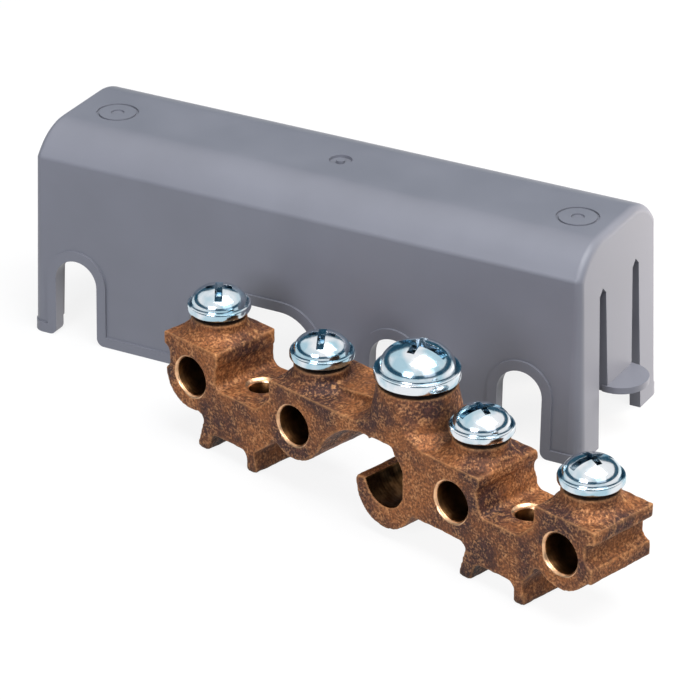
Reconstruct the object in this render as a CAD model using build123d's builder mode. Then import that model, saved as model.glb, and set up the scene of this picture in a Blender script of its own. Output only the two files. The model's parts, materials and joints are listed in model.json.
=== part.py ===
"""Intersystem bonding bridge.

A sand-cast bronze bar carries four small screw terminals and one lay-in hook
for the main bonding conductor.  It stands on four feet beside its moulded
cover, which is taken off and stands behind it.  Lengths are millimetres.
"""
import os
from math import radians, tan

from build123d import *

# Where the pieces stand on the bench, from the middle of the whole set
bar_x, bar_y = 23.86, -26.29
cover_x, cover_y = -18.14, 4.46
cover_turn = 16.6

# Terminal bar: places along it from the middle of its two mounting holes
hole_spacing = 57.0
small_terminals = (-38.1, -15.1, 18.6, 40.5)
main_terminal = 5.3

# Terminal bar: its cast section, heights above the floor
bar_depth = 13.0
pad_top = 17.8
pad_lip = 2.4
pad_half = 6.1
inner_pad_half = 5.4
fourth_pad_half, last_pad_half = 5.6, 6.7
pad_wall_foot = 14.3
bore_height = 11.65
ring_r = 5.8
waist_half = 4.9
waist_low, waist_high = 11.6, 14.7
saddle_top = 11.5
saddle_bottom = 3.1
saddle_rise = 6.0
cast_inside_r = 1.1
cast_corner_r = 0.5
outer_wall_set = 0.4
lobe_half, lobe_low = 6.3, 8.8

# Feet, in pairs about each mounting hole
foot_before, foot_after = 6.95, 4.2
foot_width = 2.7
outer_foot_lean, inner_foot_lean = 1.5, 0.2
foot_root = 5.4

# Lay-in hook and the web above it
web_thickness = 1.65
hook_outer_r, hook_outer_drop = 6.0, 10.1
hook_inner_r, hook_inner_drop = 3.9, 8.5
throat_drop, throat_corner = 6.2, 1.9
hook_set_back = 0.7
hook_tip = 8.8
relief_r, relief_set_back = 11.5, 4.3
relief_root_height, relief_span_height = 9.0, 11.3

# Bosses under the screw heads
boss_height, boss_top_r, boss_foot_r = 2.8, 4.5, 6.2
main_boss_height, main_boss_top_r = 6.9, 6.2
main_boss_waist_r, main_boss_foot_r = 7.2, 9.4
ridge_front = -1.7
ridge_start_rise, ridge_end_rise = 1.0, 3.0

# Screws, and how far the heads stand off their bosses as supplied
wire_bore_r = 3.2
bore_chamfer = 0.35
screw_clearance = 0.05
small_screw_r, small_head_r, small_head_rim, small_head_height = 2.4, 5.05, 1.3, 4.0
small_shank = 6.5
main_screw_r, main_head_r, main_head_rim, main_head_height = 3.15, 6.65, 1.7, 5.6
main_shank = 9.3
main_hole_bottom = 13.2
dome_shoulder, dome_shoulder_rise, dome_flat = 0.76, 0.5, 0.3
head_gap = 0.8
slot_width, slot_depth = 1.2, 1.1
cross_length, cross_depth = 5.2, 1.9
main_slot_width, main_slot_depth = 1.5, 1.5
main_cross_length, main_cross_depth = 6.8, 2.5
screw_turns = (-45, -50, 20, 70, 75)

# Mounting holes
mounting_hole_r = 2.1
mounting_sink_r = 2.7

# Cover: outside sizes at its open rim, walls leaning in towards the top
cover_length, cover_depth, cover_height = 101.2, 29.6, 35.9
cover_wall = 1.9
cover_corner_r = 2.3
cover_draft = 1.95
leg_corner_r = 1.3
shoulder_r, shoulder_swell = 9.3, 0.2
roof_edge_r = 1.4
bead_width, bead_rise = 1.7, 0.4

# Cover: the arches that wires leave by, along it from its middle
arch_half, arch_top = 3.95, 14.2
first_arch_inset, last_arch_inset = 8.9, 10.75
middle_arch = 17.2
wide_arch_low, wide_arch_high, wide_arch_corner_r = -20.2, 3.3, 6.4

# Cover: the snap tab in each end wall, between two slots
slot_out, slot_top_half, slot_foot_half = 6.0, 1.15, 1.8
slot_top = 27.2
tab_foot = 8.4
ledge_r, ledge_thickness = 4.7, 1.1
barb_reach, barb_low, barb_high, barb_tip = 2.6, 11.9, 14.1, 0.8
barb_half = 4.0

# Cover: plain moulded marks in the roof
mark_ring_r, mark_ring_width, mark_depth = 3.5, 0.45, 0.3
mark_dimple_r = 1.1
first_mark_inset, last_mark_inset, mark_set = 9.3, 7.9, -1.0
gate_r, gate_depth, gate_nub_r = 1.9, 0.5, 0.7

bore_bottom = bore_height - ring_r
web_bottom = pad_top - web_thickness
hook_x = main_terminal - hook_set_back
relief_x = main_terminal - relief_set_back
mounting_holes = (-hole_spacing / 2, hole_spacing / 2)
first, second, fourth, last = small_terminals
boss_top = pad_top + boss_height
main_boss_top = pad_top + main_boss_height
flare_rise = 0.7
arches = (first_arch_inset - cover_length / 2, middle_arch, cover_length / 2 - last_arch_inset)
marks = ((first_mark_inset - cover_length / 2, mark_set), (cover_length / 2 - last_mark_inset, mark_set))
shoulder_half_flat = cover_depth / 2 - shoulder_r + shoulder_swell
near = 0.01


def block(left, right, low, high, mode=Mode.ADD):
    """A rectangle of a side view, between two places and two heights."""
    with Locations(((left + right) / 2, (low + high) / 2)):
        Rectangle(right - left, high - low, mode=mode)


def foot(place, lean_left, lean_right):
    """One cast foot in side view, its root leaning over from its sole."""
    half = foot_width / 2
    Polygon(
        (place - half, 0),
        (place + half, 0),
        (place + half + lean_right, foot_root),
        (place - half + lean_left, foot_root),
        align=None,
    )


def saddle(hole, wall_before, pad_after):
    """The low bridge that carries a mounting hole, rising to the next pad."""
    Polygon(
        (hole - foot_before, saddle_bottom),
        (hole + foot_after, saddle_bottom),
        (pad_after, saddle_bottom + saddle_rise / 2),
        (pad_after, pad_wall_foot),
        (pad_after - saddle_rise / 2, saddle_top),
        (wall_before, saddle_top),
        (wall_before - foot_width, saddle_top),
        align=None,
    )


# The bar's side view: pads, bore rings, saddles and feet
with BuildSketch(Plane.XZ) as bar_side:
    for place in small_terminals:
        with Locations((place, bore_height)):
            Circle(ring_r)
    block(first - pad_half, first + pad_half, pad_top - pad_lip, pad_top)
    block(first - waist_half, first + pad_half - outer_wall_set, bore_height, pad_top)
    block(second - inner_pad_half, second + ring_r + cast_inside_r, relief_root_height, pad_top)
    block(second, relief_x, relief_span_height, pad_top)
    block(second, fourth + fourth_pad_half, web_bottom, pad_top)
    block(hook_x + throat_corner, fourth + fourth_pad_half - outer_wall_set, bore_bottom, pad_top)
    block(last - inner_pad_half, last + last_pad_half, pad_top - pad_lip, pad_top)
    block(last - inner_pad_half, last + waist_half, bore_height, pad_top)
    block(last, last + lobe_half, lobe_low, waist_low)
    saddle(mounting_holes[0], first + pad_half, second - inner_pad_half)
    saddle(mounting_holes[1], fourth + fourth_pad_half, last - inner_pad_half)
    for hole in mounting_holes:
        foot(hole - foot_before, outer_foot_lean, outer_foot_lean)
        foot(hole + foot_after, inner_foot_lean, -outer_foot_lean)
    with Locations((hook_x, pad_top - throat_drop), (hook_x, pad_top - hook_inner_drop)):
        Circle(hook_inner_r, mode=Mode.SUBTRACT)
    block(hook_x, hook_x + hook_inner_r, pad_top - hook_inner_drop, pad_top - throat_drop, mode=Mode.SUBTRACT)
    for end, side in ((first, -1), (last, 1)):
        with Locations((end + side * (waist_half + ring_r / 2), (waist_low + waist_high) / 2)):
            Rectangle(ring_r, waist_high - waist_low, mode=Mode.SUBTRACT)

# The arc that hollows the second terminal's root up to the web
with BuildSketch(Plane.XZ) as relief_side:
    with Locations((relief_x, web_bottom - relief_r)):
        Circle(relief_r)
    block(relief_x, relief_x + relief_r, -relief_r, web_bottom, mode=Mode.SUBTRACT)
    block(hook_x - hook_outer_r - cast_inside_r, relief_x, 0, relief_span_height, mode=Mode.SUBTRACT)

# The lay-in hook, open towards the second terminal
with BuildSketch(Plane.XZ) as hook_side:
    with Locations((hook_x, pad_top - hook_outer_drop)):
        Circle(hook_outer_r)
    block(hook_x - hook_outer_r, hook_x + hook_inner_r, hook_tip, pad_top, mode=Mode.SUBTRACT)
    with Locations((hook_x, pad_top - hook_inner_drop)):
        Circle(hook_inner_r, mode=Mode.SUBTRACT)

# Cast corners: hollow ones filled first, then the proud ones rounded off
with BuildSketch(Plane.XZ) as filled_side:
    add(bar_side.sketch_local)
    add(hook_side.sketch_local)
    offset(amount=cast_inside_r, kind=Kind.ARC)
with BuildSketch(Plane.XZ) as drawn_in_side:
    add(filled_side.sketch_local)
    offset(amount=-cast_inside_r, kind=Kind.ARC)
with BuildSketch(Plane.XZ) as shrunk_side:
    add(drawn_in_side.sketch_local)
    offset(amount=-cast_corner_r, kind=Kind.ARC)
with BuildSketch(Plane.XZ) as cast_side:
    add(shrunk_side.sketch_local)
    offset(amount=cast_corner_r, kind=Kind.ARC)
    add(relief_side.sketch_local, mode=Mode.SUBTRACT)

# Bosses flare out of the pads, and the ridge runs from one boss to the next
with BuildPart() as bosses:
    for place, height, foot_r, waist_r, top_r in (
        (first, boss_height, boss_foot_r, boss_top_r, boss_top_r),
        (second, boss_height, boss_foot_r, boss_top_r, boss_top_r),
        (main_terminal, main_boss_height, main_boss_foot_r, main_boss_waist_r, main_boss_top_r),
        (fourth, boss_height, boss_foot_r, boss_top_r, boss_top_r),
        (last, boss_height, boss_foot_r, boss_top_r, boss_top_r),
    ):
        flare = foot_r - waist_r
        with BuildSketch(Plane((place, 0, pad_top), x_dir=(1, 0, 0), z_dir=(0, -1, 0))):
            Polygon(
                (0, -web_thickness),
                (foot_r, -web_thickness),
                (foot_r, 0),
                (waist_r, flare_rise * flare),
                (top_r, height),
                (0, height),
                align=None,
            )
        revolve(axis=Axis((place, 0, 0), (0, 0, 1)))
    with BuildSketch(Plane.XZ.offset(-ridge_front)):
        Polygon(
            (second, web_bottom),
            (main_terminal, web_bottom),
            (main_terminal, pad_top + ridge_end_rise),
            (second + boss_foot_r, pad_top + ridge_start_rise),
            (second, pad_top + ridge_start_rise),
            align=None,
        )
    extrude(amount=-bar_depth)
    with BuildSketch(Plane.XY) as pads:
        for left, right in (
            (first - pad_half, first + pad_half),
            (second - inner_pad_half, fourth + fourth_pad_half),
            (last - inner_pad_half, last + last_pad_half),
        ):
            block(left + cast_corner_r, right - cast_corner_r, -bar_depth / 2, bar_depth / 2)
    extrude(amount=main_boss_top, mode=Mode.INTERSECT)

with BuildPart() as bar_casting:
    with BuildSketch(Plane.XZ.offset(bar_depth / 2)):
        add(cast_side.sketch_local)
    extrude(amount=-bar_depth)
    add(bosses.part)
    with BuildSketch(Plane.XZ.offset(bar_depth / 2)):
        with Locations([(place, bore_height) for place in small_terminals]):
            Circle(wire_bore_r)
    extrude(amount=-bar_depth, mode=Mode.SUBTRACT)
    mouths = edges().filter_by(lambda e: e.geom_type == GeomType.CIRCLE and abs(e.radius - wire_bore_r) < near)
    chamfer(mouths, bore_chamfer)
    with BuildSketch(Plane.XY.offset(boss_top)):
        with Locations([(place, 0) for place in small_terminals]):
            Circle(small_screw_r + screw_clearance)
    extrude(amount=bore_height - boss_top, mode=Mode.SUBTRACT)
    with BuildSketch(Plane.XY.offset(main_boss_top)):
        with Locations((main_terminal, 0)):
            Circle(main_screw_r + screw_clearance)
    extrude(amount=main_hole_bottom - main_boss_top, mode=Mode.SUBTRACT)
    with Locations([(hole, 0, saddle_top) for hole in mounting_holes]):
        CounterSinkHole(mounting_hole_r, mounting_sink_r, depth=saddle_top)

with BuildPart() as terminal_bar:
    with Locations((bar_x, bar_y, 0)):
        add(bar_casting.part)
terminal_bar.part.label = "terminal_bar"


def screw(shank_r, shank, head_r, rim, head, slot, cross):
    """A domed clamp screw, its head's underside at height zero."""
    slot_w, slot_d = slot
    cross_l, cross_d = cross
    rise = head - rim
    with BuildPart() as form:
        with BuildSketch(Plane.XZ):
            Polygon(
                (0, head),
                (0, -shank),
                (shank_r, -shank),
                (shank_r, 0),
                (head_r, 0),
                (head_r, rim),
                (dome_shoulder * head_r, rim + dome_shoulder_rise * rise),
                (dome_flat * head_r, head),
                align=None,
            )
        revolve(axis=Axis.Z)
        with Locations((0, 0, head)):
            Box(2 * head_r, slot_w, 2 * slot_d, mode=Mode.SUBTRACT)
            Box(slot_w, cross_l, 2 * cross_d, mode=Mode.SUBTRACT)
            Box(cross_l, slot_w, 2 * cross_d, mode=Mode.SUBTRACT)
    return form.part


small_screw = screw(
    small_screw_r,
    small_shank,
    small_head_r,
    small_head_rim,
    small_head_height,
    (slot_width, slot_depth),
    (cross_length, cross_depth),
)
big_screw = screw(
    main_screw_r,
    main_shank,
    main_head_r,
    main_head_rim,
    main_head_height,
    (main_slot_width, main_slot_depth),
    (main_cross_length, main_cross_depth),
)
small_seat = boss_top + head_gap
main_seat = main_boss_top + head_gap

with BuildPart() as clamp_screw_1:
    with Locations(Location((bar_x + first, bar_y, small_seat), (0, 0, screw_turns[0]))):
        add(small_screw)
clamp_screw_1.part.label = "clamp_screw_1"

with BuildPart() as clamp_screw_2:
    with Locations(Location((bar_x + second, bar_y, small_seat), (0, 0, screw_turns[1]))):
        add(small_screw)
clamp_screw_2.part.label = "clamp_screw_2"

with BuildPart() as main_screw:
    with Locations(Location((bar_x + main_terminal, bar_y, main_seat), (0, 0, screw_turns[2]))):
        add(big_screw)
main_screw.part.label = "main_screw"

with BuildPart() as clamp_screw_3:
    with Locations(Location((bar_x + fourth, bar_y, small_seat), (0, 0, screw_turns[3]))):
        add(small_screw)
clamp_screw_3.part.label = "clamp_screw_3"

with BuildPart() as clamp_screw_4:
    with Locations(Location((bar_x + last, bar_y, small_seat), (0, 0, screw_turns[4]))):
        add(small_screw)
clamp_screw_4.part.label = "clamp_screw_4"


crease_height = cover_height - shoulder_r / 2 - roof_edge_r


def cover_form(inset):
    """The cover's roofed outside shape, drawn in from it by an inset."""
    with BuildPart() as form:
        with BuildSketch(Plane.XY):
            Rectangle(cover_length - 2 * inset, cover_depth - 2 * inset)
            fillet(vertices(), cover_corner_r - inset)
        extrude(amount=cover_height - inset, taper=cover_draft)
        with BuildSketch(Plane.YZ):
            block(-cover_depth, cover_depth, 0, cover_height - shoulder_r)
            block(-shoulder_half_flat, shoulder_half_flat, 0, cover_height - inset)
            with Locations(
                (-shoulder_half_flat, cover_height - shoulder_r),
                (shoulder_half_flat, cover_height - shoulder_r),
            ):
                Circle(shoulder_r - inset)
        extrude(amount=cover_length, both=True, mode=Mode.INTERSECT)
        if inset == 0:
            roof = edges().filter_by_position(Axis.Z, crease_height, cover_height + roof_edge_r)
            ends = roof.filter_by(lambda e: abs(e.center().X) > cover_length / 2 - cover_corner_r)
            fillet(ends, roof_edge_r)
    return form.part


# Side view of the long walls, with the arches that the wires leave by
with BuildSketch(Plane.XZ) as wall_side:
    block(-cover_length, cover_length, 0, 2 * cover_height)
    for place in arches:
        block(place - arch_half, place + arch_half, 0, arch_top - arch_half, mode=Mode.SUBTRACT)
        with Locations((place, arch_top - arch_half)):
            Circle(arch_half, mode=Mode.SUBTRACT)
    block(wide_arch_low, wide_arch_high, 0, arch_top, mode=Mode.SUBTRACT)
    soles = vertices().filter_by_position(Axis.X, -cover_length / 2, cover_length / 2)
    fillet(soles.filter_by_position(Axis.Y, -near, near), leg_corner_r)
    crown = vertices().filter_by_position(Axis.X, wide_arch_low - near, wide_arch_high + near)
    fillet(crown.filter_by_position(Axis.Y, arch_top - near, arch_top + near), wide_arch_corner_r)
with BuildSketch(Plane.XZ) as wall_field:
    add(wall_side.sketch_local)
    offset(amount=-bead_width, kind=Kind.ARC)

with BuildPart() as bead:
    with BuildSketch(Plane.XY):
        Rectangle(cover_length + 2 * bead_rise, cover_depth + 2 * bead_rise)
        fillet(vertices(), cover_corner_r + bead_rise)
    extrude(amount=arch_top + 2 * bead_width, taper=cover_draft)
    with BuildSketch(Plane.XZ):
        add(wall_side.sketch_local)
        add(wall_field.sketch_local, mode=Mode.SUBTRACT)
    extrude(amount=cover_depth, both=True, mode=Mode.INTERSECT)

tab_face = cover_length / 2 - tab_foot * tan(radians(cover_draft))
tab_back = tab_face - cover_wall

with BuildPart() as cover_shell:
    add(cover_form(0))
    with BuildSketch(Plane.XZ):
        add(wall_side.sketch_local)
    extrude(amount=cover_depth, both=True, mode=Mode.INTERSECT)
    add(bead.part)
    add(cover_form(cover_wall), mode=Mode.SUBTRACT)
    with BuildSketch(Plane.YZ):
        for side in (-1, 1):
            Polygon(
                (side * slot_out - slot_foot_half, 0),
                (side * slot_out + slot_foot_half, 0),
                (side * slot_out + slot_top_half, slot_top - slot_top_half),
                (side * slot_out, slot_top),
                (side * slot_out - slot_top_half, slot_top - slot_top_half),
                align=None,
            )
        block(-slot_out, slot_out, 0, tab_foot)
    extrude(amount=cover_length, both=True, mode=Mode.SUBTRACT)
    with BuildSketch(Plane.XY.offset(tab_foot)):
        with Locations((-tab_face, 0), (tab_face, 0)):
            Circle(ledge_r)
        Rectangle(tab_face + tab_back, 2 * ledge_r, mode=Mode.SUBTRACT)
    extrude(amount=ledge_thickness)
    with BuildSketch(Plane.XZ):
        for side in (-1, 1):
            Polygon(
                (side * (tab_back + cover_wall / 2), barb_low),
                (side * (tab_back - barb_reach), barb_low),
                (side * (tab_back - barb_reach), barb_low + barb_tip),
                (side * (tab_back + cover_wall / 2), barb_high + barb_reach),
                align=None,
            )
    extrude(amount=barb_half, both=True)
    with BuildSketch(Plane.XY.offset(cover_height - mark_depth)):
        with Locations(marks):
            Circle(mark_ring_r)
            Circle(mark_ring_r - mark_ring_width, mode=Mode.SUBTRACT)
            Circle(mark_dimple_r)
    extrude(amount=2 * mark_depth, mode=Mode.SUBTRACT)
    with BuildSketch(Plane.XY.offset(cover_height - gate_depth)):
        Circle(gate_r)
        Circle(gate_nub_r, mode=Mode.SUBTRACT)
    extrude(amount=2 * gate_depth, mode=Mode.SUBTRACT)

with BuildPart() as cover:
    with Locations(Location((cover_x, cover_y, 0), (0, 0, cover_turn))):
        add(cover_shell.part)
cover.part.label = "cover"

os.makedirs("parts", exist_ok=True)
export_step(terminal_bar.part, "parts/terminal_bar.step")
export_step(clamp_screw_1.part, "parts/clamp_screw_1.step")
export_step(clamp_screw_2.part, "parts/clamp_screw_2.step")
export_step(main_screw.part, "parts/main_screw.step")
export_step(clamp_screw_3.part, "parts/clamp_screw_3.step")
export_step(clamp_screw_4.part, "parts/clamp_screw_4.step")
export_step(cover.part, "parts/cover.step")
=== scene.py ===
"""Intersystem bonding bridge: a sand-cast bronze bar, its clamp screws and its moulded cover."""

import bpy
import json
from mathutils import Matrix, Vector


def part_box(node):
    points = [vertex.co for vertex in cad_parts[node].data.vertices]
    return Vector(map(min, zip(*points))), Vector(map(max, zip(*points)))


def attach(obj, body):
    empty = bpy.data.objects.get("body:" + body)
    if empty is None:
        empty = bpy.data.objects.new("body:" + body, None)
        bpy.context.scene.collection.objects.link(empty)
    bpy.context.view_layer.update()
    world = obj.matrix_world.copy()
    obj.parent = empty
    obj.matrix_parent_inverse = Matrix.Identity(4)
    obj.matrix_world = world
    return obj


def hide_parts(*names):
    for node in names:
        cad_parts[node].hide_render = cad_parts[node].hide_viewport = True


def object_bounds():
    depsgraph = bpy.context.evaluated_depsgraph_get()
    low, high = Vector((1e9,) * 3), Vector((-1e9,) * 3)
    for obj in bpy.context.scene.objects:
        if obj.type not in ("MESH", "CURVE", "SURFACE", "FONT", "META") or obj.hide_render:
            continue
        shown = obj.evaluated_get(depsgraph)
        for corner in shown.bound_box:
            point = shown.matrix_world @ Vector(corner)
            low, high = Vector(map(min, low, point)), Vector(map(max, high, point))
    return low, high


bl_info = {
    "name": "Intersystem bonding bridge",
    "version": (1, 0, 0),
    "blender": (4, 5, 0),
    "location": "3D View > Sidebar > Bonding bridge",
    "description": "Dresses the cast terminal bar, the domed clamp screws and the grey snap cover",
    "category": "Object",
}

import json
import math

import bmesh
import bpy
from mathutils import Matrix, Vector, noise

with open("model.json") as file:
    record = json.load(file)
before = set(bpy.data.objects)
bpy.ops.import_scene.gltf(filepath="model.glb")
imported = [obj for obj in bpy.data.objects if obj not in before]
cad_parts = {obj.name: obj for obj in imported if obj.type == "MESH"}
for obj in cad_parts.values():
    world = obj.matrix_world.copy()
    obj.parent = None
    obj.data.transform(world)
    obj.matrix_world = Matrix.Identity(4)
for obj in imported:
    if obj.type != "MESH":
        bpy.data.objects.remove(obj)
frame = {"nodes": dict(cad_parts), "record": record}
cad_low, cad_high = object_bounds()

MM = 0.001
ALONG_Y = (0, 1, 0)
UP = (0, 0, 1)

# The bar's levels above the floor, and its tapped holes
SADDLE_TOP = 11.5 * MM
WEB_TOP = 16.3 * MM
SMALL_TAP_R = 2.45 * MM
MAIN_TAP_R = 3.2 * MM
MAIN_TAP_FOOT = 13.2 * MM
TAP_CUT_HEIGHT = 12 * MM

# The cover's place on the floor, and its plan at the open rim
COVER_PLACE = Vector((-18.14, 4.46, 0)) * MM
COVER_TURN = math.radians(16.6)
COVER_DRAFT = math.radians(1.95)
COVER_HALF = Vector((101.2, 29.6)) / 2 * MM
COVER_CORNER_R = 2.3 * MM


def linear(hex_code):
    """A colour written as sRGB hex, turned to the linear values that shaders use."""
    values = [int(hex_code[i : i + 2], 16) / 255 for i in (1, 3, 5)]
    return tuple(v / 12.92 if v <= 0.04045 else ((v + 0.055) / 1.055) ** 2.4 for v in values)


# Sizes and colours that a user would change


def colour_prop(name, description, hex_code):
    """A colour on the panel."""
    return bpy.props.FloatVectorProperty(
        name=name, description=description, subtype="COLOR", size=3, min=0, max=1, default=linear(hex_code)
    )


def length_prop(name, description, default, **limits):
    """A length on the panel."""
    return bpy.props.FloatProperty(
        name=name, description=description, default=default, precision=5, unit="LENGTH", **limits
    )


def power_prop(name, description, default):
    """A light's power on the panel."""
    return bpy.props.FloatProperty(name=name, description=description, default=default, unit="POWER")


class CastBarLook(bpy.types.PropertyGroup):
    """The sand-cast bar and its machined holes."""

    grain: length_prop(
        "Casting grain",
        "Width of the coarse bumps that the moulding sand leaves",
        0.9 * MM,
        min=0.2 * MM,
        max=4 * MM,
    )
    roughness_height: length_prop(
        "Casting relief",
        "How far the cast skin rises and falls",
        0.09 * MM,
        min=0,
        max=0.3 * MM,
    )
    patina: colour_prop("Patina", "Colour of the brown oxide skin", "#965C32")
    patina_dark: colour_prop("Dark patina", "Colour of the skin in its dark blotches", "#4A2A22")
    # The rubbed-grain colour also paints the edges light, as wear and as painted highlight
    glint: colour_prop("Rubbed grain", "Colour of the grain tops where the skin is rubbed off", "#D99F68")
    cut_metal: colour_prop("Cut metal", "Colour of the chamfered bronze", "#E8B88E")


class ScrewLook(bpy.types.PropertyGroup):
    """The zinc-plated clamp screws."""

    small_head_radius: length_prop("Small head radius", "Radius of the four small heads", 5.05 * MM)
    main_head_radius: length_prop("Main head radius", "Radius of the main screw's head", 6.65 * MM)
    small_pitch: length_prop("Small thread pitch", "Distance between the small screws' threads", 0.79 * MM)
    main_pitch: length_prop("Main thread pitch", "Distance between the main screw's threads", 0.91 * MM)
    plating: colour_prop("Plating", "Colour of the bright zinc plating", "#E2E6EA")
    plating_blue: colour_prop("Passivation tint", "Blue tint of the clear passivation over the zinc", "#A9C8D6")
    # The recess tint is painted shade, laid on where the recess walls stand close
    recess_shade_blue: colour_prop("Recess tint", "Colour of the thick passivation in the driver recess", "#3C6E84")


class CoverLook(bpy.types.PropertyGroup):
    """The moulded cover."""

    edge_round: length_prop("Edge rounding", "Width of the rounded moulded edges", 0.3 * MM, min=0, max=0.5 * MM)
    plastic: colour_prop("Plastic", "Colour of the moulded grey plastic", "#74767F")


class StageLook(bpy.types.PropertyGroup):
    """The floor and the studio light."""

    floor: colour_prop("Floor", "Colour of the pale floor", "#F2F2F2")
    key_power: power_prop("Key light", "Power of the soft light at the right", 0.65)
    end_power: power_prop("End light", "Power of the small light that skims the cover's end wall", 0.5)
    front_power: power_prop("Front light", "Power of the soft light at the front", 5.2)
    top_power: power_prop("Top light", "Power of the soft light overhead", 10.5)


# Nodes


def add_node(tree, kind, links=None, **settings):
    """Adds a node, sets its settings, and fills its sockets with values or links."""
    node = tree.nodes.new(kind)
    for name, value in settings.items():
        setattr(node, name, value)
    for socket, source in (links or {}).items():
        if isinstance(source, bpy.types.NodeSocket):
            tree.links.new(source, node.inputs[socket])
        else:
            node.inputs[socket].default_value = source
    return node


def new_material(name):
    """An empty node material with that name, and its tree."""
    material = bpy.data.materials.new(name)
    material.use_nodes = True
    material.node_tree.nodes.clear()
    return material, material.node_tree


def object_place(tree):
    """The point on the object that is being shaded."""
    return add_node(tree, "ShaderNodeTexCoord").outputs["Object"]


def add_noise(tree, where, width, detail, roughness=0.5):
    """Noise with features about that wide."""
    sockets = {"Vector": where, "Scale": 1 / width, "Detail": detail, "Roughness": roughness}
    return add_node(tree, "ShaderNodeTexNoise", sockets).outputs["Fac"]


def add_range(tree, value, low, high, to_low=0.0, to_high=1.0):
    """Turns one range of a value into another, and holds it at the ends."""
    sockets = {"Value": value, "From Min": low, "From Max": high, "To Min": to_low, "To Max": to_high}
    return add_node(tree, "ShaderNodeMapRange", sockets).outputs["Result"]


def add_ramp(tree, value, first, second):
    """Blends two colours over a value, each given with the level where it is full."""
    ramp = add_node(tree, "ShaderNodeValToRGB", {"Fac": value})
    for element, (level, colour) in zip(ramp.color_ramp.elements, (first, second)):
        element.position = level
        element.color = (*colour, 1)
    return ramp.outputs["Color"]


def add_mix(tree, factor, first, second, blend="MIX"):
    """Mixes two colours."""
    sockets = {"Factor": factor, 6: first, 7: second}
    return add_node(tree, "ShaderNodeMix", sockets, data_type="RGBA", blend_type=blend).outputs[2]


def add_math(tree, operation, first, second):
    """One sum on two values."""
    return add_node(tree, "ShaderNodeMath", {0: first, 1: second}, operation=operation).outputs[0]


def add_openness(tree, reach):
    """One in the open, falling to zero where other faces stand within reach."""
    return add_node(tree, "ShaderNodeAmbientOcclusion", {"Distance": reach}, samples=8).outputs["AO"]


def add_bump(tree, height, strength, distance):
    """The normal that a fine relief gives."""
    sockets = {"Height": height, "Strength": strength, "Distance": distance}
    return add_node(tree, "ShaderNodeBump", sockets).outputs["Normal"]


def add_surface(tree, sockets):
    """Ends a material in one Principled shader."""
    shader = add_node(tree, "ShaderNodeBsdfPrincipled", sockets)
    add_node(tree, "ShaderNodeOutputMaterial", {"Surface": shader.outputs["BSDF"]})


def add_shown(tree):
    """One for the camera, and for what polished or clear matter shows; zero for light that falls on the set."""
    rays = add_node(tree, "ShaderNodeLightPath")
    shown = add_math(tree, "MAXIMUM", rays.outputs["Is Camera Ray"], rays.outputs["Is Glossy Ray"])
    return add_math(tree, "MAXIMUM", shown, rays.outputs["Is Transmission Ray"])


# Materials


def sand_cast_bronze(look):
    """Bronze cast in sand: a rough brown oxide skin, rubbed golden on its grain, lighter on its edges with wear
    and painted highlight, and darker in its hollows with painted shade.
    """
    material, tree = new_material("sand_cast_bronze")
    where = object_place(tree)
    # Blotches of dark oxide about 7 mm across
    blotch = add_noise(tree, where, 7 * MM, 2.0)
    # Grains of moulding sand about 0.4 mm across, the finest that shows at this distance
    sand = add_noise(tree, where, 0.4 * MM, 2.0, 0.6)
    # Clusters of grain about 1.4 mm across
    clump = add_noise(tree, where, 1.4 * MM, 4.0, 0.7)
    skin = add_ramp(tree, blotch, (0.38, look.patina_dark), (0.6, look.patina))
    pits = add_range(tree, sand, 0.32, 0.64, 0.35, 1.2)
    pitted = add_mix(tree, 1.0, skin, pits, "MULTIPLY")
    grain = add_math(tree, "ADD", sand, clump)
    tops = add_range(tree, grain, 1.02, 1.3, 0.0, 0.5)
    rubbed = add_mix(tree, tops, pitted, (*look.glint, 1))
    # Proud edges are painted bright: part handling wear, part painted highlight along the edges
    pointiness = add_node(tree, "ShaderNodeNewGeometry").outputs["Pointiness"]
    edge = add_range(tree, pointiness, 0.51, 0.58, 0.0, 0.55)
    worn_and_highlit = add_mix(tree, edge, rubbed, (*look.glint, 1))
    # Painted shade: the skin is darkened within about 5 mm of another face, in the hollows, under the screw
    # heads and near the floor, with some soot from the mould
    hollow_shade = add_range(tree, add_openness(tree, 5 * MM), 0.3, 0.85, 0.12, 1.0)
    add_surface(
        tree,
        {
            "Base Color": add_mix(tree, 1.0, worn_and_highlit, hollow_shade, "MULTIPLY"),
            "Roughness": add_range(tree, tops, 0.0, 1.0, 0.66, 0.42),
            "Normal": add_bump(tree, grain, 0.85, 0.14 * MM),
            # Oxide isn't metal, and enough bronze shows through it for a dull metal gleam
            "Metallic": 0.4,
        },
    )
    return material


def drilled_bronze(name, metal, share):
    """Bronze cut by a tool: coppery metal with tool rings and stains, at that share of its colour; a small share
    is painted shade, as inside the bores and the hook.
    """
    material, tree = new_material(name)
    where = object_place(tree)
    # Tool rings about 0.3 mm apart
    rings = add_node(
        tree,
        "ShaderNodeTexWave",
        {"Vector": where, "Scale": 1 / (6 * 0.3 * MM), "Distortion": 2.0, "Detail": 2.0},
        bands_direction="Y",
    )
    # Stains about 1.6 mm across
    stain = add_noise(tree, where, 1.6 * MM, 3.0)
    stained = [c * share * 0.4 for c in metal]
    clean = [c * share for c in metal]
    add_surface(
        tree,
        {
            "Base Color": add_ramp(tree, stain, (0.3, stained), (0.6, clean)),
            "Metallic": 1.0,
            "Roughness": 0.34,
            "Normal": add_bump(tree, rings.outputs["Fac"], 0.3, 0.02 * MM),
        },
    )
    return material


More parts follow.
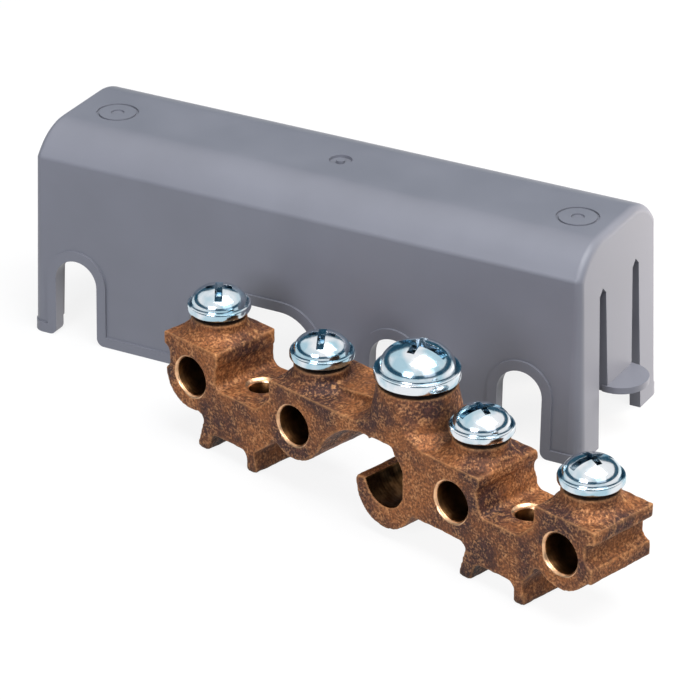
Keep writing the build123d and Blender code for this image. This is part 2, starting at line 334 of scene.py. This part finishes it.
def bright_zinc_plate(look):
    """Zinc-plated steel: mirror-like with a faint blue passivation and small dents."""
    material, tree = new_material("bright_zinc_plate")
    where = object_place(tree)
    # The tint drifts over about 4 mm
    drift = add_noise(tree, where, 4 * MM, 2.0)
    plated = add_ramp(tree, drift, (0.4, look.plating_blue), (0.6, look.plating))
    # Painted shade: the recess is drawn dark and blue within about 1.2 mm of its walls
    recess_shade = add_range(tree, add_openness(tree, 1.2 * MM), 0.25, 0.9)
    # Tumbling dents about 0.8 mm across
    dents = add_noise(tree, where, 0.8 * MM, 2.0)
    add_surface(
        tree,
        {
            "Base Color": add_mix(tree, recess_shade, (*look.recess_shade_blue, 1), plated),
            "Metallic": 1.0,
            "Roughness": add_range(tree, dents, 0.0, 1.0, 0.08, 0.22),
            "Normal": add_bump(tree, dents, 0.25, 0.04 * MM),
        },
    )
    return material


def moulded_grey_plastic(look):
    """Injection-moulded plastic: satin grey with a fine spark-eroded texture."""
    material, tree = new_material("moulded_grey_plastic")
    where = object_place(tree)
    # Mould texture about 0.25 mm across, drawn coarser than real to show at all
    texture = add_noise(tree, where, 0.25 * MM, 2.0)
    # Flow marks about 14 mm across
    flow = add_noise(tree, where, 14 * MM, 3.0)
    shaded = [c * 0.9 for c in look.plastic]
    add_surface(
        tree,
        {
            "Base Color": add_ramp(tree, flow, (0.3, shaded), (0.7, look.plastic)),
            "Roughness": add_range(tree, flow, 0.3, 0.7, 0.36, 0.46),
            "Normal": add_bump(tree, texture, 0.12, 0.02 * MM),
            "IOR": 1.52,
        },
    )
    return material


# Meshes


def link_mesh(name, bm):
    """Puts a finished bmesh into the scene as an object with that name."""
    mesh = bpy.data.meshes.new(name)
    bm.to_mesh(mesh)
    bm.free()
    piece = bpy.data.objects.new(name, mesh)
    bpy.context.scene.collection.objects.link(piece)
    return piece


def apply_modifiers(piece):
    """Leaves the piece with the mesh that its modifiers make."""
    graph = bpy.context.evaluated_depsgraph_get()
    made = bpy.data.meshes.new_from_object(piece.evaluated_get(graph), depsgraph=graph)
    piece.modifiers.clear()
    old = piece.data
    piece.data = made
    bpy.data.meshes.remove(old)


def cut_away(piece, cutter):
    """Cuts the cutter out of the piece and removes the cutter."""
    cut = piece.modifiers.new("cut", "BOOLEAN")
    cut.operation = "DIFFERENCE"
    cut.solver = "MANIFOLD"
    cut.object = cutter
    apply_modifiers(piece)
    bpy.data.objects.remove(cutter)


def join_rings(bm, low, high):
    """A band of faces between two rings of points."""
    count = len(low)
    return [bm.faces.new((low[i], low[(i + 1) % count], high[(i + 1) % count], high[i])) for i in range(count)]


def add_drum(bm, centre, axis, sections):
    """A closed turned solid along an axis, from (height, radius) sections. Gives its bands of faces."""
    turn = Vector((0, 0, 1)).rotation_difference(Vector(axis)).to_matrix().to_4x4()
    place = Matrix.Translation(centre) @ turn
    around = 72
    rings = []
    for height, radius in sections:
        ring = []
        for i in range(around):
            angle = 2 * math.pi * i / around
            point = Vector((radius * math.cos(angle), radius * math.sin(angle), height))
            ring.append(bm.verts.new(place @ point))
        rings.append(ring)
    bm.faces.new(rings[0][::-1])
    bm.faces.new(rings[-1])
    return [join_rings(bm, low, high) for low, high in zip(rings, rings[1:])]


# The bar


def measure_bar():
    """The bar's faces and the places of its holes, from the frame."""
    low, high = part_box("terminal_bar")
    screw_low, screw_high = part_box("main_screw")
    mounts = frame["record"]["mounts"]
    pattern = next(m for m in mounts if m["name"] == "mounting_holes")
    spread = pattern["dims"]["spacing_x_mm"] * MM / 2
    return {
        "front": low.y,
        "middle": (low.y + high.y) / 2,
        "back": high.y,
        "top": high.z,
        "bores": [
            (m["pos_m"][0], m["pos_m"][2], m["dims"]["r_mm"] * MM)
            for m in mounts
            if m["name"].startswith("wire_bore")
        ],
        "mounting_xs": [pattern["pos_m"][0] + side * spread for side in (-1, 1)],
        "mounting_r": pattern["dims"]["hole_r_mm"] * MM,
        "main_x": (screw_low.x + screw_high.x) / 2,
    }


def cast_shape(bar):
    """The bar's CAD shape with its holes plugged, softened as a sand casting."""
    bm = bmesh.new()
    bm.from_mesh(frame["nodes"]["terminal_bar"].data)
    bmesh.ops.remove_doubles(bm, verts=bm.verts, dist=0.001 * MM)
    # The plugs end a little inside the bar's faces
    inset = 0.05 * MM
    front, middle = bar["front"], bar["middle"]
    depth = bar["back"] - front - 2 * inset
    for x, z, r in bar["bores"]:
        add_drum(bm, (x, front + inset, z), ALONG_Y, ((0, r * 1.3), (depth, r * 1.3)))
        add_drum(bm, (x, middle, z), UP, ((0, 3 * MM), (8.9 * MM, 3 * MM)))
    height = bar["top"] - WEB_TOP - inset
    add_drum(bm, (bar["main_x"], middle, WEB_TOP), UP, ((0, 4 * MM), (height, 4 * MM)))
    plug_foot = 4 * MM
    height = SADDLE_TOP - plug_foot - inset
    for x in bar["mounting_xs"]:
        add_drum(bm, (x, middle, plug_foot), UP, ((0, 3.2 * MM), (height, 3.2 * MM)))
    bmesh.ops.recalc_face_normals(bm, faces=bm.faces)
    piece = link_mesh("cast_bar", bm)
    casting = piece.modifiers.new("casting", "REMESH")
    casting.mode = "VOXEL"
    casting.voxel_size = 0.3 * MM
    casting.use_smooth_shade = True
    soften = piece.modifiers.new("soften", "SMOOTH")
    soften.factor = 0.5
    soften.iterations = 3
    apply_modifiers(piece)
    return piece


def roughen(mesh, grain, height):
    """Moves the skin by bumps of two sizes, as sand leaves it, and sinks it a little on the whole."""
    mesh.update()
    moved = []
    for vertex in mesh.vertices:
        p = vertex.co
        coarse = noise.noise(p / (grain * 2.2))
        fine = noise.noise(p / grain)
        moved.append(p + vertex.normal * height * (0.8 * coarse + 0.6 * fine - 0.75))
    for vertex, place in zip(mesh.vertices, moved):
        vertex.co = place


def drill_holes(piece, bar):
    """Cuts the bores, mounting holes and tapped holes: material 1, darkened as painted shade, inside, 2 on the
    chamfers.
    """
    holes, taps = bmesh.new(), bmesh.new()
    chamfers = []
    front, middle = bar["front"], bar["middle"]
    depth = bar["back"] - front
    # The chamfer's width, and how far a cutter stands out past the casting
    lip, run = 0.48 * MM, 1.0 * MM
    for x, z, r in bar["bores"]:
        mouth = r + lip + run
        sections = ((-run, mouth), (lip, r), (depth - lip, r), (depth + run, mouth))
        bands = add_drum(holes, (x, front, z), ALONG_Y, sections)
        chamfers += bands[0] + bands[-1]
        add_drum(taps, (x, middle, z), UP, ((0, SMALL_TAP_R), (TAP_CUT_HEIGHT, SMALL_TAP_R)))
    main_foot = (bar["main_x"], middle, MAIN_TAP_FOOT)
    add_drum(taps, main_foot, UP, ((0, MAIN_TAP_R), (TAP_CUT_HEIGHT, MAIN_TAP_R)))
    r = bar["mounting_r"]
    sections = ((0, r), (SADDLE_TOP - 0.7 * MM, r), (SADDLE_TOP + 1 * MM, r + 1.7 * MM))
    for x in bar["mounting_xs"]:
        chamfers += add_drum(holes, (x, middle, 0), UP, sections)[-1]
    for part in (holes, taps):
        bmesh.ops.recalc_face_normals(part, faces=part.faces)
        for face in part.faces:
            face.material_index = 1
    for face in chamfers:
        face.material_index = 2
    # The tapped holes run into the bores, so they are cut after them
    for name, part in (("bore_cutter", holes), ("tap_cutter", taps)):
        cutter = link_mesh(name, part)
        for material in piece.data.materials:
            cutter.data.materials.append(material)
        cut_away(piece, cutter)


def shade_hook(piece, bar):
    """Paints shade on the hook's bed and throat with the bores' darkened bronze, material 1."""
    hook_x, bed_z, throat_z = bar["main_x"] - 0.7 * MM, 9.3 * MM, 11.6 * MM
    reach = (bar["back"] - bar["front"]) / 2 - 0.3 * MM
    for face in piece.data.polygons:
        level = min(max(face.center.z, bed_z), throat_z)
        away = Vector((face.center.x - hook_x, face.center.z - level))
        if away.length < 4.25 * MM and abs(face.center.y - bar["middle"]) < reach:
            if face.normal.x * away.x + face.normal.z * away.y < -0.3 * away.length:
                face.material_index = 1


class BRIDGE_OT_cast_bar(bpy.types.Operator):
    """Casts the terminal bar: a rough rounded skin, with the holes cut clean through it"""

    bl_idname = "bridge.cast_bar"
    bl_label = "Cast terminal bar"

    def execute(self, context):
        look = context.scene.cast_bar_look
        bar = measure_bar()
        piece = cast_shape(bar)
        roughen(piece.data, look.grain, look.roughness_height)
        piece.data.materials.append(sand_cast_bronze(look))
        # Inside the bores and the hook the bronze keeps 0.16 of its colour: painted shade
        piece.data.materials.append(drilled_bronze("shaded_bore_bronze", look.glint, 0.16))
        piece.data.materials.append(drilled_bronze("bright_cut_bronze", look.cut_metal, 1.0))
        drill_holes(piece, bar)
        shade_hook(piece, bar)
        if len(piece.data.polygons) < 10000:
            raise RuntimeError("the casting came out empty")
        piece.data.shade_smooth()
        piece.data.set_sharp_from_angle(angle=math.radians(50))
        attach(piece, "bridge")
        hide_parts("terminal_bar")
        return {"FINISHED"}


# The screws


def add_head(bm, head_r, rim, head):
    """A domed head on a flange, its underside at height zero, as one turned solid."""
    dome_r, rise = 0.87 * head_r, head - rim
    sections = [
        (0, head_r - 0.3 * MM),
        (0.08 * MM, head_r - 0.1 * MM),
        (0.3 * MM, head_r),
        (rim - 0.3 * MM, head_r),
        (rim - 0.08 * MM, head_r - 0.1 * MM),
        (rim, head_r - 0.3 * MM),
        (rim - 0.12 * MM, dome_r + 0.12 * MM),
        (rim + 0.05 * MM, dome_r),
    ]
    steps = 18
    for i in range(1, steps):
        angle = math.pi / 2 * i / steps
        sections.append((rim + rise * math.sin(angle), dome_r * math.cos(angle)))
    sections.append((head, 0.05 * MM))
    add_drum(bm, (0, 0, 0), UP, sections)


def add_thread(bm, shank_r, shank, pitch):
    """A threaded shank below height zero: the radius follows a helix, and narrows at the tip."""
    around, rows_per_turn = 48, 10
    rows = int(shank / pitch * rows_per_turn)
    depth = pitch * 0.54
    tip, overlap = 0.6 * MM, 0.3 * MM
    rings = []
    for row in range(rows + 1):
        z = -shank + (shank + overlap) * row / rows
        ring = []
        for i in range(around):
            angle = 2 * math.pi * i / around
            phase = (z / pitch - i / around) % 1
            ridge = abs(2 * phase - 1)
            radius = shank_r - depth * min(1, max(0, 1.15 * ridge - 0.08))
            near_tip = min(1, (z + shank) / tip)
            radius = min(radius, shank_r - 0.55 * MM * (1 - near_tip))
            ring.append(bm.verts.new((radius * math.cos(angle), radius * math.sin(angle), z)))
        rings.append(ring)
    bm.faces.new(rings[0][::-1])
    bm.faces.new(rings[-1])
    for low, high in zip(rings, rings[1:]):
        join_rings(bm, low, high)


def add_wedge(bm, length, width, top, depth, draw):
    """A straight-sided pocket, narrower at its bottom, to cut into a head."""
    corners = []
    for z, inset in ((top - depth, draw), (top + 1 * MM, 0)):
        x, y = length / 2 - inset, width / 2 - inset * 0.25
        corners.append([bm.verts.new(v) for v in ((-x, -y, z), (x, -y, z), (x, y, z), (-x, y, z))])
    low, high = corners
    bm.faces.new(low[::-1])
    bm.faces.new(high)
    join_rings(bm, low, high)


def make_screw(name, body, size, turn, material):
    """Builds one clamp screw over its CAD node and lets it ride on its body."""
    low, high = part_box(name)
    place = Vector(((low.x + high.x) / 2, (low.y + high.y) / 2, low.z + size["shank"]))
    bm = bmesh.new()
    add_head(bm, size["head_r"], size["rim"], size["head"])
    head = link_mesh(name + "_zinc", bm)
    # A slot right across the head, and the two arms of a deeper cross
    cross = (size["cross"], size["slot"], size["head"], size["cross_depth"], size["cross"] * 0.22)
    for wedge, quarter_turns in (
        ((2.4 * size["head_r"], size["slot"], size["head"], size["slot_depth"], 0), 0),
        (cross, 0),
        (cross, 1),
    ):
        bm = bmesh.new()
        add_wedge(bm, *wedge)
        aside = Matrix.Rotation(math.pi / 2 * quarter_turns, 3, "Z")
        bmesh.ops.rotate(bm, verts=bm.verts, cent=(0, 0, 0), matrix=aside)
        cut_away(head, link_mesh("slot_cutter", bm))
    bm = bmesh.new()
    bm.from_mesh(head.data)
    add_thread(bm, size["shank_r"], size["shank"], size["pitch"])
    bm.to_mesh(head.data)
    bm.free()
    head.data.transform(Matrix.Translation(place) @ Matrix.Rotation(turn, 4, "Z"))
    head.data.shade_smooth()
    head.data.set_sharp_from_angle(angle=math.radians(35))
    edge = head.modifiers.new("worn edges", "BEVEL")
    edge.width = 0.07 * MM
    edge.segments = 2
    edge.limit_method = "ANGLE"
    edge.angle_limit = math.radians(38)
    # The cuts leave empty material slots
    head.data.materials.clear()
    head.data.materials.append(material)
    for face in head.data.polygons:
        face.material_index = 0
    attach(head, body)
    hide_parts(name)


class BRIDGE_OT_screws(bpy.types.Operator):
    """Builds the four small clamp screws and the main screw, with threads and driver recesses"""

    bl_idname = "bridge.screws"
    bl_label = "Clamp screws"

    def execute(self, context):
        look = context.scene.screw_look
        plate = bright_zinc_plate(look)
        small = {
            "head_r": look.small_head_radius,
            "rim": 1.3 * MM,
            "head": 4.0 * MM,
            "shank_r": 2.4 * MM,
            "shank": 6.5 * MM,
            "pitch": look.small_pitch,
            "slot": 1.2 * MM,
            "slot_depth": 1.1 * MM,
            "cross": 5.2 * MM,
            "cross_depth": 1.9 * MM,
        }
        big = {
            "head_r": look.main_head_radius,
            "rim": 1.7 * MM,
            "head": 5.6 * MM,
            "shank_r": 3.15 * MM,
            "shank": 9.3 * MM,
            "pitch": look.main_pitch,
            "slot": 1.5 * MM,
            "slot_depth": 1.5 * MM,
            "cross": 6.8 * MM,
            "cross_depth": 2.5 * MM,
        }
        for name, size, turn in (
            ("clamp_screw_1", small, -45),
            ("clamp_screw_2", small, -50),
            ("main_screw", big, 20),
            ("clamp_screw_3", small, 70),
            ("clamp_screw_4", small, 75),
        ):
            make_screw(name, name, size, math.radians(turn), plate)
        return {"FINISHED"}


# The cover


def fade_bead(bm):
    """Sinks the bead along the arches where it would run round the cover's upright corners."""
    place = Matrix.Translation(COVER_PLACE) @ Matrix.Rotation(COVER_TURN, 4, "Z")
    bead_top = 20 * MM
    for vertex in bm.verts:
        p = place.inverted() @ vertex.co
        lean = p.z * math.tan(COVER_DRAFT)
        corner = COVER_HALF - Vector((1, 1)) * (COVER_CORNER_R + lean)
        out = Vector((abs(p.x) - corner.x, abs(p.y) - corner.y))
        if out.x <= 0:
            continue
        far = out.length if out.y > 0 else out.x
        proud = far - COVER_CORNER_R
        if not 0.02 * MM < proud < 0.6 * MM or p.z > bead_top:
            continue
        kept = max(out.y, 0) / far
        shift = out.normalized() if out.y > 0 else Vector((1, 0))
        shift = shift * (-proud * (1 - kept * kept))
        p.x += shift.x if p.x > 0 else -shift.x
        p.y += shift.y if p.y > 0 else -shift.y
        vertex.co = place @ p


class BRIDGE_OT_cover(bpy.types.Operator):
    """Gives the moulded cover its soft edges and its satin plastic"""

    bl_idname = "bridge.cover"
    bl_label = "Moulded cover"

    def execute(self, context):
        look = context.scene.cover_look
        bm = bmesh.new()
        bm.from_mesh(frame["nodes"]["cover"].data)
        bmesh.ops.remove_doubles(bm, verts=bm.verts, dist=0.001 * MM)
        bmesh.ops.recalc_face_normals(bm, faces=bm.faces)
        bmesh.ops.dissolve_limit(bm, angle_limit=math.radians(0.6), verts=bm.verts, edges=bm.edges)
        fade_bead(bm)
        piece = link_mesh("moulded_cover", bm)
        crease = math.radians(21)
        piece.data.shade_smooth()
        piece.data.set_sharp_from_angle(angle=crease)
        edge = piece.modifiers.new("moulded edges", "BEVEL")
        edge.width = look.edge_round
        edge.segments = 2
        edge.limit_method = "ANGLE"
        edge.angle_limit = crease
        flat = piece.modifiers.new("flat walls", "WEIGHTED_NORMAL")
        flat.mode = "FACE_AREA"
        flat.weight = 80
        flat.keep_sharp = True
        piece.data.materials.append(moulded_grey_plastic(look))
        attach(piece, "bridge")
        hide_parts("cover")
        return {"FINISHED"}


# The stage


def add_sheet(name, half_size):
    """A flat square sheet."""
    bm = bmesh.new()
    bmesh.ops.create_grid(bm, x_segments=1, y_segments=1, size=half_size)
    return link_mesh(name, bm)


def add_floor(look):
    """Pale paper that shows white and keeps the object's shadow."""
    floor = add_sheet("floor", 3.0)
    floor.location.z = cad_low.z - 0.05 * MM
    paper, tree = new_material("white_paper_floor")
    shown = add_shown(tree)
    tint = add_mix(tree, shown, (*linear("#8E8E90"), 1), (*look.floor, 1))
    matt = add_node(tree, "ShaderNodeBsdfDiffuse", {"Color": tint})
    glow = add_node(tree, "ShaderNodeEmission", {"Color": (1, 1, 1, 1), "Strength": 1.0})
    share = add_math(tree, "MULTIPLY", shown, 0.86)
    mixed = add_node(tree, "ShaderNodeMixShader", {0: share, 1: matt.outputs[0], 2: glow.outputs[0]})
    add_node(tree, "ShaderNodeOutputMaterial", {"Surface": mixed.outputs[0]})
    floor.data.materials.append(paper)


def add_world():
    """A white studio to look at, and a soft dim sky for the light that falls on the set."""
    world = bpy.data.worlds.new("white_studio")
    bpy.context.scene.world = world
    world.use_nodes = True
    tree = world.node_tree
    tree.nodes.clear()
    soft = add_node(tree, "ShaderNodeBackground", {"Color": (*linear("#E6EAF0"), 1), "Strength": 0.22})
    white = add_node(tree, "ShaderNodeBackground", {"Color": (1, 1, 1, 1), "Strength": 1.0})
    sources = {0: add_shown(tree), 1: soft.outputs[0], 2: white.outputs[0]}
    mixed = add_node(tree, "ShaderNodeMixShader", sources)
    add_node(tree, "ShaderNodeOutputWorld", {"Surface": mixed.outputs[0]})


def add_dim_surroundings():
    """A dim wall round the set and a dark card behind it, which only polished metal mirrors."""
    bm = bmesh.new()
    add_drum(bm, (0, 0, 0), UP, ((0.08, 1.2), (0.55, 1.2)))
    ends = [f for f in bm.faces if len(f.verts) > 4]
    bmesh.ops.delete(bm, geom=ends, context="FACES_ONLY")
    wall = link_mesh("studio_wall", bm)
    card = add_sheet("dark_card", 0.62)
    card.location = (-0.66, 0.66, 0.72)
    card.rotation_euler = (math.radians(52), 0, math.radians(45))
    dim, tree = new_material("dim_studio_wall")
    shade = add_node(tree, "ShaderNodeEmission", {"Color": (*linear("#3E6E86"), 1), "Strength": 0.6})
    add_node(tree, "ShaderNodeOutputMaterial", {"Surface": shade.outputs[0]})
    for unseen in (wall, card):
        unseen.data.materials.append(dim)
        unseen.visible_camera = False
        unseen.visible_diffuse = False
        unseen.visible_shadow = False
        unseen.visible_transmission = False


def add_light(name, place, aim, size, power, colour):
    """A soft square studio light that points at a spot."""
    lamp = bpy.data.lights.new(name, "AREA")
    lamp.shape = "SQUARE"
    lamp.size = size
    lamp.energy = power
    lamp.color = linear(colour)
    light = bpy.data.objects.new(name, lamp)
    bpy.context.scene.collection.objects.link(light)
    light.location = place
    light.visible_camera = False
    light.rotation_mode = "QUATERNION"
    light.rotation_quaternion = (Vector(aim) - Vector(place)).to_track_quat("-Z", "Y")
    return light


def add_lights(look):
    """Four soft lights; the small one at the end wall shows in nothing polished."""
    centre = (0, 0, 15 * MM)
    end_wall = (0.03, 0.018, 0.016)
    add_light("key_light", (0.75, -0.12, 0.42), centre, 0.5, look.key_power, "#F2F6FF")
    end = add_light("end_light", (0.072, 0.145, 0.022), end_wall, 0.06, look.end_power, "#FFF4E8")
    end.visible_glossy = False
    add_light("front_light", (0.22, -0.82, 0.4), centre, 0.35, look.front_power, "#F4F6FF")
    add_light("top_light", (0.3, 0.02, 0.86), centre, 0.7, look.top_power, "#FFFFFF")


def add_camera():
    """The camera at the photograph's angle, from the fitted place, turn and tilt."""
    camera = bpy.data.cameras.new("photo_camera")
    camera.sensor_width = 36
    camera.lens = 211.83
    camera.clip_start = 0.01
    camera.clip_end = 20
    stand = bpy.data.objects.new("photo_camera", camera)
    bpy.context.scene.collection.objects.link(stand)
    stand.location = Vector((409.58, -419.67, 311.23)) * MM
    turn, tilt = math.radians(45.1), math.radians(27.211)
    level = math.cos(tilt)
    behind = Vector((math.sin(turn) * level, -math.cos(turn) * level, math.sin(tilt)))
    stand.rotation_mode = "QUATERNION"
    stand.rotation_quaternion = (-behind).to_track_quat("-Z", "Y")
    bpy.context.scene.camera = stand


class BRIDGE_OT_stage(bpy.types.Operator):
    """Sets the pale floor, the soft studio light and the camera at the photograph's angle"""

    bl_idname = "bridge.stage"
    bl_label = "Stage and camera"

    def execute(self, context):
        look = context.scene.stage_look
        add_floor(look)
        add_world()
        add_dim_surroundings()
        add_lights(look)
        add_camera()
        context.scene.view_settings.view_transform = "Standard"
        return {"FINISHED"}


class BRIDGE_PT_panel(bpy.types.Panel):
    """Lists the pieces of the bonding bridge"""

    bl_idname = "BRIDGE_PT_panel"
    bl_label = "Bonding bridge"
    bl_space_type = "VIEW_3D"
    bl_region_type = "UI"
    bl_category = "Bonding bridge"

    def draw(self, context):
        for look in LOOKS:
            group = getattr(context.scene, look)
            for name in group.__annotations__:
                self.layout.prop(group, name)
        for step in STEPS:
            self.layout.operator(step.bl_idname)


LOOKS = {
    "cast_bar_look": CastBarLook,
    "screw_look": ScrewLook,
    "cover_look": CoverLook,
    "stage_look": StageLook,
}
STEPS = (BRIDGE_OT_cast_bar, BRIDGE_OT_screws, BRIDGE_OT_cover, BRIDGE_OT_stage)


def register():
    for kind in (*LOOKS.values(), *STEPS, BRIDGE_PT_panel):
        bpy.utils.register_class(kind)
    for name, kind in LOOKS.items():
        setattr(bpy.types.Scene, name, bpy.props.PointerProperty(type=kind))


def unregister():
    for name in LOOKS:
        delattr(bpy.types.Scene, name)
    for kind in (BRIDGE_PT_panel, *reversed(STEPS), *reversed(list(LOOKS.values()))):
        bpy.utils.unregister_class(kind)


def main():
    register()
    bpy.ops.bridge.cast_bar()
    bpy.ops.bridge.screws()
    bpy.ops.bridge.cover()
    bpy.ops.bridge.stage()


if __name__ == "__main__":
    main()
